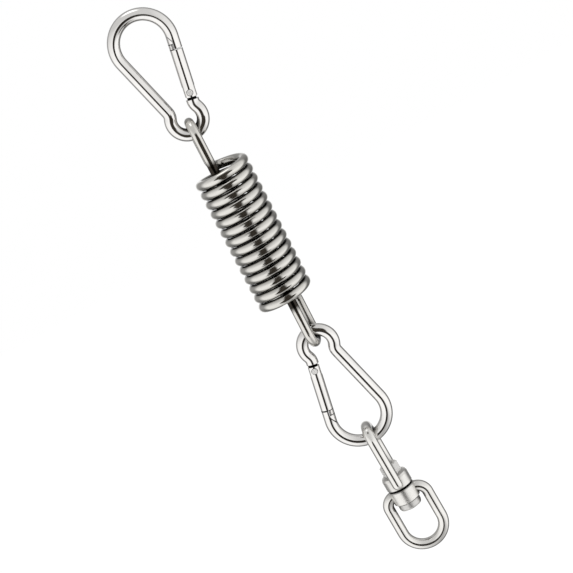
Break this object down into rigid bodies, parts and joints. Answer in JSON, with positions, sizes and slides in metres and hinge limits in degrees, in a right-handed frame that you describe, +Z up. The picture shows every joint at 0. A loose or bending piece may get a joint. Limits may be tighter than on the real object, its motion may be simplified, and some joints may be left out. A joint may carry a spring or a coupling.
{
  "type": "hammock hook",
  "caption": "Steel hanging chain for a hammock: snap hook, coil spring, second snap hook and a swivel with a D-shaped bow.",
  "frame": {"origin": "the seat inside the top arc of the upper snap hook, where the chain hangs from", "axes": "+Z up along the hanging chain, X across the snap hooks with the upper gate at +X, Y through them"},
  "size_m": [0.0408, 0.0344, 0.3645],
  "materials": {
    "polished_bar": "polished stainless steel",
    "spring_wire": "bright drawn stainless spring wire",
    "polished_casting": "tumbled and polished stainless casting",
    "small_steel": "bright steel"
  },
  "bodies": {
    "upper_hook": {"upper_hook": "polished_bar"},
    "upper_gate": {"upper_gate": "polished_bar", "upper_gate_rivet": "small_steel", "upper_gate_spring": "small_steel"},
    "upper_plunger": {"upper_gate_plunger": "small_steel"},
    "spring": {"spring": "spring_wire"},
    "lower_hook": {"lower_hook": "polished_bar"},
    "lower_gate": {"lower_gate": "polished_bar", "lower_gate_rivet": "small_steel", "lower_gate_spring": "small_steel"},
    "lower_plunger": {"lower_gate_plunger": "small_steel"},
    "swivel_eye": {"swivel_eye": "polished_casting", "swivel_bolt": "small_steel", "swivel_nut": "small_steel"},
    "swivel_bow": {"swivel_bow": "polished_casting"}
  },
  "joints": [
    {"name": "upper_gate_hinge", "type": "hinge", "parent": "upper_hook", "child": "upper_gate", "pos_m": [0.00924, 0, -0.04895], "axis": [0, -1, 0], "range_deg": [0, 25], "stiffness_Nm_per_rad": 0.02, "springref_deg": -34.38},
    {"name": "upper_plunger_slide", "type": "slide", "parent": "upper_gate", "child": "upper_plunger", "axis": [0.213, 0, 0.977], "range_m": [0, 0.00062], "deforming": ["upper_gate_spring"]},
    {"name": "spring_swing", "type": "hinge", "parent": "upper_hook", "child": "spring", "pos_m": [0, 0, -0.07045], "axis": [1, 0, 0], "range_deg": [-110, 110]},
    {"name": "spring_stretch", "type": "slide", "parent": "spring", "child": "lower_hook", "axis": [0, 0, -1], "range_m": [0, 0.04], "stiffness_N_per_m": 25500, "deforming": ["spring"]},
    {"name": "lower_gate_hinge", "type": "hinge", "parent": "lower_hook", "child": "lower_gate", "pos_m": [-0.00924, 0, -0.22544], "axis": [0, -1, 0], "range_deg": [0, 25], "stiffness_Nm_per_rad": 0.02, "springref_deg": -34.38},
    {"name": "lower_plunger_slide", "type": "slide", "parent": "lower_gate", "child": "lower_plunger", "axis": [-0.213, 0, -0.977], "range_m": [0, 0.00062], "deforming": ["lower_gate_spring"]},
    {"name": "swivel_swing", "type": "hinge", "parent": "lower_hook", "child": "swivel_eye", "pos_m": [0, 0, -0.27814], "axis": [1, 0, 0], "range_deg": [-120, 120]},
    {"name": "swivel_spin", "type": "hinge", "parent": "swivel_eye", "child": "swivel_bow", "pos_m": [0, 0, -0.31279], "axis": [0, 0, 1], "continuous": true}
  ],
  "couplings": [
    {"joint": "upper_plunger_slide", "follows": "upper_gate_hinge", "m_per_rad": 0.0014195},
    {"joint": "lower_plunger_slide", "follows": "lower_gate_hinge", "m_per_rad": 0.0014195}
  ]
}
